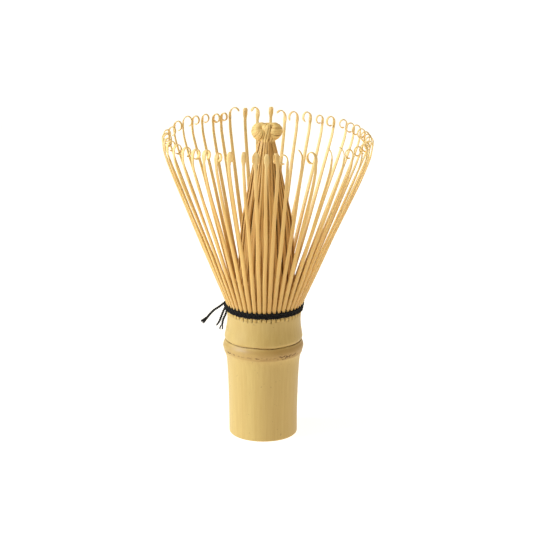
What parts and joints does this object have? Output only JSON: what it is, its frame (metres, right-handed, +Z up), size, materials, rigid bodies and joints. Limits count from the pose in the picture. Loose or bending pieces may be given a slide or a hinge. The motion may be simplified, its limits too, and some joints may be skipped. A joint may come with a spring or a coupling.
{
  "type": "bamboo tea whisk",
  "caption": "Bamboo tea whisk: a round cane handle whose upper end is split into a bell of springy curled tines around a gathered inner cone, laced with dark thread.",
  "frame": {"origin": "centre of the handle's foot, on the surface that it stands on", "axes": "+Z up along the handle; +X towards the side that the tines lean to, with the thread's knot on the -X side"},
  "size_m": [0.0722, 0.0739, 0.1116],
  "materials": {
    "cane_skin": "smooth, faintly waxy bamboo skin with fine upright fibres",
    "split_cane": "matte shaved bamboo, paler and translucent at the curls",
    "steamed_cane": "matte shaved bamboo, darker between the strands",
    "thread": "matte twisted cotton"
  },
  "bodies": {
    "handle": {"handle": "cane_skin", "inner_tines": "steamed_cane", "tip_knot": "steamed_cane", "thread_lower_round": "thread", "thread_upper_round": "thread", "thread_knot": "thread", "thread_tail_long": "thread", "thread_tail_split": "thread", "thread_tail_middle": "thread", "thread_tail_short": "thread"},
    "outer_tine_01": {"outer_tine_01": "split_cane"},
    "outer_tine_02": {"outer_tine_02": "split_cane"},
    "outer_tine_03": {"outer_tine_03": "split_cane"},
    "outer_tine_04": {"outer_tine_04": "split_cane"},
    "outer_tine_05": {"outer_tine_05": "split_cane"},
    "outer_tine_06": {"outer_tine_06": "split_cane"},
    "outer_tine_07": {"outer_tine_07": "split_cane"},
    "outer_tine_08": {"outer_tine_08": "split_cane"},
    "outer_tine_09": {"outer_tine_09": "split_cane"},
    "outer_tine_10": {"outer_tine_10": "split_cane"},
    "outer_tine_11": {"outer_tine_11": "split_cane"},
    "outer_tine_12": {"outer_tine_12": "split_cane"},
    "outer_tine_13": {"outer_tine_13": "split_cane"},
    "outer_tine_14": {"outer_tine_14": "split_cane"},
    "outer_tine_15": {"outer_tine_15": "split_cane"},
    "outer_tine_16": {"outer_tine_16": "split_cane"},
    "outer_tine_17": {"outer_tine_17": "split_cane"},
    "outer_tine_18": {"outer_tine_18": "split_cane"},
    "outer_tine_19": {"outer_tine_19": "split_cane"},
    "outer_tine_20": {"outer_tine_20": "split_cane"},
    "outer_tine_21": {"outer_tine_21": "split_cane"},
    "outer_tine_22": {"outer_tine_22": "split_cane"},
    "outer_tine_23": {"outer_tine_23": "split_cane"},
    "outer_tine_24": {"outer_tine_24": "split_cane"},
    "outer_tine_25": {"outer_tine_25": "split_cane"},
    "outer_tine_26": {"outer_tine_26": "split_cane"},
    "outer_tine_27": {"outer_tine_27": "split_cane"},
    "outer_tine_28": {"outer_tine_28": "split_cane"},
    "outer_tine_29": {"outer_tine_29": "split_cane"},
    "outer_tine_30": {"outer_tine_30": "split_cane"},
    "outer_tine_31": {"outer_tine_31": "split_cane"},
    "outer_tine_32": {"outer_tine_32": "split_cane"},
    "outer_tine_33": {"outer_tine_33": "split_cane"},
    "outer_tine_34": {"outer_tine_34": "split_cane"},
    "outer_tine_35": {"outer_tine_35": "split_cane"},
    "outer_tine_36": {"outer_tine_36": "split_cane"},
    "outer_tine_37": {"outer_tine_37": "split_cane"},
    "outer_tine_38": {"outer_tine_38": "split_cane"},
    "outer_tine_39": {"outer_tine_39": "split_cane"},
    "outer_tine_40": {"outer_tine_40": "split_cane"},
    "outer_tine_41": {"outer_tine_41": "split_cane"},
    "outer_tine_42": {"outer_tine_42": "split_cane"},
    "outer_tine_43": {"outer_tine_43": "split_cane"},
    "outer_tine_44": {"outer_tine_44": "split_cane"},
    "outer_tine_45": {"outer_tine_45": "split_cane"},
    "outer_tine_46": {"outer_tine_46": "split_cane"},
    "outer_tine_47": {"outer_tine_47": "split_cane"},
    "outer_tine_48": {"outer_tine_48": "split_cane"}
  },
  "joints": [
    {"name": "outer_tine_01_flex", "type": "hinge", "parent": "handle", "child": "outer_tine_01", "pos_m": [0.01256, 0, 0.0463], "axis": [0, -1, 0], "range_deg": [-6, 8], "stiffness_Nm_per_rad": 0.01},
    {"name": "outer_tine_02_flex", "type": "hinge", "parent": "handle", "child": "outer_tine_02", "pos_m": [0.01246, 0.00162, 0.0463], "axis": [0.1305, -0.9914, -0.001], "range_deg": [-6, 8], "stiffness_Nm_per_rad": 0.01},
    {"name": "outer_tine_03_flex", "type": "hinge", "parent": "handle", "child": "outer_tine_03", "pos_m": [0.01214, 0.00322, 0.0463], "axis": [0.2588, -0.9659, -0.0021], "range_deg": [-6, 8], "stiffness_Nm_per_rad": 0.01},
    {"name": "outer_tine_04_flex", "type": "hinge", "parent": "handle", "child": "outer_tine_04", "pos_m": [0.01162, 0.00476, 0.04631], "axis": [0.3827, -0.9239, -0.0031], "range_deg": [-6, 8], "stiffness_Nm_per_rad": 0.01},
    {"name": "outer_tine_05_flex", "type": "hinge", "parent": "handle", "child": "outer_tine_05", "pos_m": [0.0109, 0.00622, 0.04631], "axis": [0.5, -0.866, -0.004], "range_deg": [-6, 8], "stiffness_Nm_per_rad": 0.01},
    {"name": "outer_tine_06_flex", "type": "hinge", "parent": "handle", "child": "outer_tine_06", "pos_m": [0.00999, 0.00758, 0.04632], "axis": [0.6087, -0.7934, -0.0049], "range_deg": [-6, 8], "stiffness_Nm_per_rad": 0.01},
    {"name": "outer_tine_07_flex", "type": "hinge", "parent": "handle", "child": "outer_tine_07", "pos_m": [0.00892, 0.0088, 0.04633], "axis": [0.7071, -0.7071, -0.0057], "range_deg": [-6, 8], "stiffness_Nm_per_rad": 0.01},
    {"name": "outer_tine_08_flex", "type": "hinge", "parent": "handle", "child": "outer_tine_08", "pos_m": [0.00769, 0.00988, 0.04634], "axis": [0.7933, -0.6088, -0.0063], "range_deg": [-6, 8], "stiffness_Nm_per_rad": 0.01},
    {"name": "outer_tine_09_flex", "type": "hinge", "parent": "handle", "child": "outer_tine_09", "pos_m": [0.00634, 0.01078, 0.04635], "axis": [0.866, -0.5, -0.0069], "range_deg": [-6, 8], "stiffness_Nm_per_rad": 0.01},
    {"name": "outer_tine_10_flex", "type": "hinge", "parent": "handle", "child": "outer_tine_10", "pos_m": [0.00488, 0.0115, 0.04636], "axis": [0.9239, -0.3827, -0.0074], "range_deg": [-6, 8], "stiffness_Nm_per_rad": 0.01},
    {"name": "outer_tine_11_flex", "type": "hinge", "parent": "handle", "child": "outer_tine_11", "pos_m": [0.00334, 0.01203, 0.04637], "axis": [0.9659, -0.2588, -0.0077], "range_deg": [-6, 8], "stiffness_Nm_per_rad": 0.01},
    {"name": "outer_tine_12_flex", "type": "hinge", "parent": "handle", "child": "outer_tine_12", "pos_m": [0.00174, 0.01234, 0.04639], "axis": [0.9914, -0.1305, -0.0079], "range_deg": [-6, 8], "stiffness_Nm_per_rad": 0.01},
    {"name": "outer_tine_13_flex", "type": "hinge", "parent": "handle", "child": "outer_tine_13", "pos_m": [0.00012, 0.01245, 0.0464], "axis": [1, 0, -0.008], "range_deg": [-6, 8], "stiffness_Nm_per_rad": 0.01},
    {"name": "outer_tine_14_flex", "type": "hinge", "parent": "handle", "child": "outer_tine_14", "pos_m": [-0.00151, 0.01234, 0.04641], "axis": [0.9914, 0.1305, -0.0079], "range_deg": [-6, 8], "stiffness_Nm_per_rad": 0.01},
    {"name": "outer_tine_15_flex", "type": "hinge", "parent": "handle", "child": "outer_tine_15", "pos_m": [-0.00311, 0.01203, 0.04643], "axis": [0.9659, 0.2588, -0.0077], "range_deg": [-6, 8], "stiffness_Nm_per_rad": 0.01},
    {"name": "outer_tine_16_flex", "type": "hinge", "parent": "handle", "child": "outer_tine_16", "pos_m": [-0.00465, 0.0115, 0.04644], "axis": [0.9239, 0.3827, -0.0074], "range_deg": [-6, 8], "stiffness_Nm_per_rad": 0.01},
    {"name": "outer_tine_17_flex", "type": "hinge", "parent": "handle", "child": "outer_tine_17", "pos_m": [-0.00611, 0.01078, 0.04645], "axis": [0.866, 0.5, -0.0069], "range_deg": [-6, 8], "stiffness_Nm_per_rad": 0.01},
    {"name": "outer_tine_18_flex", "type": "hinge", "parent": "handle", "child": "outer_tine_18", "pos_m": [-0.00746, 0.00988, 0.04646], "axis": [0.7933, 0.6088, -0.0063], "range_deg": [-6, 8], "stiffness_Nm_per_rad": 0.01},
    {"name": "outer_tine_19_flex", "type": "hinge", "parent": "handle", "child": "outer_tine_19", "pos_m": [-0.00869, 0.0088, 0.04647], "axis": [0.7071, 0.7071, -0.0057], "range_deg": [-6, 8], "stiffness_Nm_per_rad": 0.01},
    {"name": "outer_tine_20_flex", "type": "hinge", "parent": "handle", "child": "outer_tine_20", "pos_m": [-0.00976, 0.00758, 0.04648], "axis": [0.6087, 0.7934, -0.0049], "range_deg": [-6, 8], "stiffness_Nm_per_rad": 0.01},
    {"name": "outer_tine_21_flex", "type": "hinge", "parent": "handle", "child": "outer_tine_21", "pos_m": [-0.01067, 0.00622, 0.04649], "axis": [0.5, 0.866, -0.004], "range_deg": [-6, 8], "stiffness_Nm_per_rad": 0.01},
    {"name": "outer_tine_22_flex", "type": "hinge", "parent": "handle", "child": "outer_tine_22", "pos_m": [-0.01139, 0.00476, 0.04649], "axis": [0.3827, 0.9239, -0.0031], "range_deg": [-6, 8], "stiffness_Nm_per_rad": 0.01},
    {"name": "outer_tine_23_flex", "type": "hinge", "parent": "handle", "child": "outer_tine_23", "pos_m": [-0.01191, 0.00322, 0.0465], "axis": [0.2588, 0.9659, -0.0021], "range_deg": [-6, 8], "stiffness_Nm_per_rad": 0.01},
    {"name": "outer_tine_24_flex", "type": "hinge", "parent": "handle", "child": "outer_tine_24", "pos_m": [-0.01223, 0.00162, 0.0465], "axis": [0.1305, 0.9914, -0.001], "range_deg": [-6, 8], "stiffness_Nm_per_rad": 0.01},
    {"name": "outer_tine_25_flex", "type": "hinge", "parent": "handle", "child": "outer_tine_25", "pos_m": [-0.01233, 0, 0.0465], "axis": [0, 1, 0], "range_deg": [-6, 8], "stiffness_Nm_per_rad": 0.01},
    {"name": "outer_tine_26_flex", "type": "hinge", "parent": "handle", "child": "outer_tine_26", "pos_m": [-0.01223, -0.00162, 0.0465], "axis": [-0.1305, 0.9914, 0.001], "range_deg": [-6, 8], "stiffness_Nm_per_rad": 0.01},
    {"name": "outer_tine_27_flex", "type": "hinge", "parent": "handle", "child": "outer_tine_27", "pos_m": [-0.01191, -0.00322, 0.0465], "axis": [-0.2588, 0.9659, 0.0021], "range_deg": [-6, 8], "stiffness_Nm_per_rad": 0.01},
    {"name": "outer_tine_28_flex", "type": "hinge", "parent": "handle", "child": "outer_tine_28", "pos_m": [-0.01139, -0.00476, 0.04649], "axis": [-0.3827, 0.9239, 0.0031], "range_deg": [-6, 8], "stiffness_Nm_per_rad": 0.01},
    {"name": "outer_tine_29_flex", "type": "hinge", "parent": "handle", "child": "outer_tine_29", "pos_m": [-0.01067, -0.00622, 0.04649], "axis": [-0.5, 0.866, 0.004], "range_deg": [-6, 8], "stiffness_Nm_per_rad": 0.01},
    {"name": "outer_tine_30_flex", "type": "hinge", "parent": "handle", "child": "outer_tine_30", "pos_m": [-0.00976, -0.00758, 0.04648], "axis": [-0.6087, 0.7934, 0.0049], "range_deg": [-6, 8], "stiffness_Nm_per_rad": 0.01},
    {"name": "outer_tine_31_flex", "type": "hinge", "parent": "handle", "child": "outer_tine_31", "pos_m": [-0.00869, -0.0088, 0.04647], "axis": [-0.7071, 0.7071, 0.0057], "range_deg": [-6, 8], "stiffness_Nm_per_rad": 0.01},
    {"name": "outer_tine_32_flex", "type": "hinge", "parent": "handle", "child": "outer_tine_32", "pos_m": [-0.00746, -0.00988, 0.04646], "axis": [-0.7933, 0.6088, 0.0063], "range_deg": [-6, 8], "stiffness_Nm_per_rad": 0.01},
    {"name": "outer_tine_33_flex", "type": "hinge", "parent": "handle", "child": "outer_tine_33", "pos_m": [-0.00611, -0.01078, 0.04645], "axis": [-0.866, 0.5, 0.0069], "range_deg": [-6, 8], "stiffness_Nm_per_rad": 0.01},
    {"name": "outer_tine_34_flex", "type": "hinge", "parent": "handle", "child": "outer_tine_34", "pos_m": [-0.00465, -0.0115, 0.04644], "axis": [-0.9239, 0.3827, 0.0074], "range_deg": [-6, 8], "stiffness_Nm_per_rad": 0.01},
    {"name": "outer_tine_35_flex", "type": "hinge", "parent": "handle", "child": "outer_tine_35", "pos_m": [-0.00311, -0.01203, 0.04643], "axis": [-0.9659, 0.2588, 0.0077], "range_deg": [-6, 8], "stiffness_Nm_per_rad": 0.01},
    {"name": "outer_tine_36_flex", "type": "hinge", "parent": "handle", "child": "outer_tine_36", "pos_m": [-0.00151, -0.01234, 0.04641], "axis": [-0.9914, 0.1305, 0.0079], "range_deg": [-6, 8], "stiffness_Nm_per_rad": 0.01},
    {"name": "outer_tine_37_flex", "type": "hinge", "parent": "handle", "child": "outer_tine_37", "pos_m": [0.00012, -0.01245, 0.0464], "axis": [-1, 0, 0.008], "range_deg": [-6, 8], "stiffness_Nm_per_rad": 0.01},
    {"name": "outer_tine_38_flex", "type": "hinge", "parent": "handle", "child": "outer_tine_38", "pos_m": [0.00174, -0.01234, 0.04639], "axis": [-0.9914, -0.1305, 0.0079], "range_deg": [-6, 8], "stiffness_Nm_per_rad": 0.01},
    {"name": "outer_tine_39_flex", "type": "hinge", "parent": "handle", "child": "outer_tine_39", "pos_m": [0.00334, -0.01203, 0.04637], "axis": [-0.9659, -0.2588, 0.0077], "range_deg": [-6, 8], "stiffness_Nm_per_rad": 0.01},
    {"name": "outer_tine_40_flex", "type": "hinge", "parent": "handle", "child": "outer_tine_40", "pos_m": [0.00488, -0.0115, 0.04636], "axis": [-0.9239, -0.3827, 0.0074], "range_deg": [-6, 8], "stiffness_Nm_per_rad": 0.01},
    {"name": "outer_tine_41_flex", "type": "hinge", "parent": "handle", "child": "outer_tine_41", "pos_m": [0.00634, -0.01078, 0.04635], "axis": [-0.866, -0.5, 0.0069], "range_deg": [-6, 8], "stiffness_Nm_per_rad": 0.01},
    {"name": "outer_tine_42_flex", "type": "hinge", "parent": "handle", "child": "outer_tine_42", "pos_m": [0.00769, -0.00988, 0.04634], "axis": [-0.7933, -0.6088, 0.0063], "range_deg": [-6, 8], "stiffness_Nm_per_rad": 0.01},
    {"name": "outer_tine_43_flex", "type": "hinge", "parent": "handle", "child": "outer_tine_43", "pos_m": [0.00892, -0.0088, 0.04633], "axis": [-0.7071, -0.7071, 0.0057], "range_deg": [-6, 8], "stiffness_Nm_per_rad": 0.01},
    {"name": "outer_tine_44_flex", "type": "hinge", "parent": "handle", "child": "outer_tine_44", "pos_m": [0.00999, -0.00758, 0.04632], "axis": [-0.6087, -0.7934, 0.0049], "range_deg": [-6, 8], "stiffness_Nm_per_rad": 0.01},
    {"name": "outer_tine_45_flex", "type": "hinge", "parent": "handle", "child": "outer_tine_45", "pos_m": [0.0109, -0.00622, 0.04631], "axis": [-0.5, -0.866, 0.004], "range_deg": [-6, 8], "stiffness_Nm_per_rad": 0.01},
    {"name": "outer_tine_46_flex", "type": "hinge", "parent": "handle", "child": "outer_tine_46", "pos_m": [0.01162, -0.00476, 0.04631], "axis": [-0.3827, -0.9239, 0.0031], "range_deg": [-6, 8], "stiffness_Nm_per_rad": 0.01},
    {"name": "outer_tine_47_flex", "type": "hinge", "parent": "handle", "child": "outer_tine_47", "pos_m": [0.01214, -0.00322, 0.0463], "axis": [-0.2588, -0.9659, 0.0021], "range_deg": [-6, 8], "stiffness_Nm_per_rad": 0.01},
    {"name": "outer_tine_48_flex", "type": "hinge", "parent": "handle", "child": "outer_tine_48", "pos_m": [0.01246, -0.00162, 0.0463], "axis": [-0.1305, -0.9914, 0.001], "range_deg": [-6, 8], "stiffness_Nm_per_rad": 0.01}
  ]
}
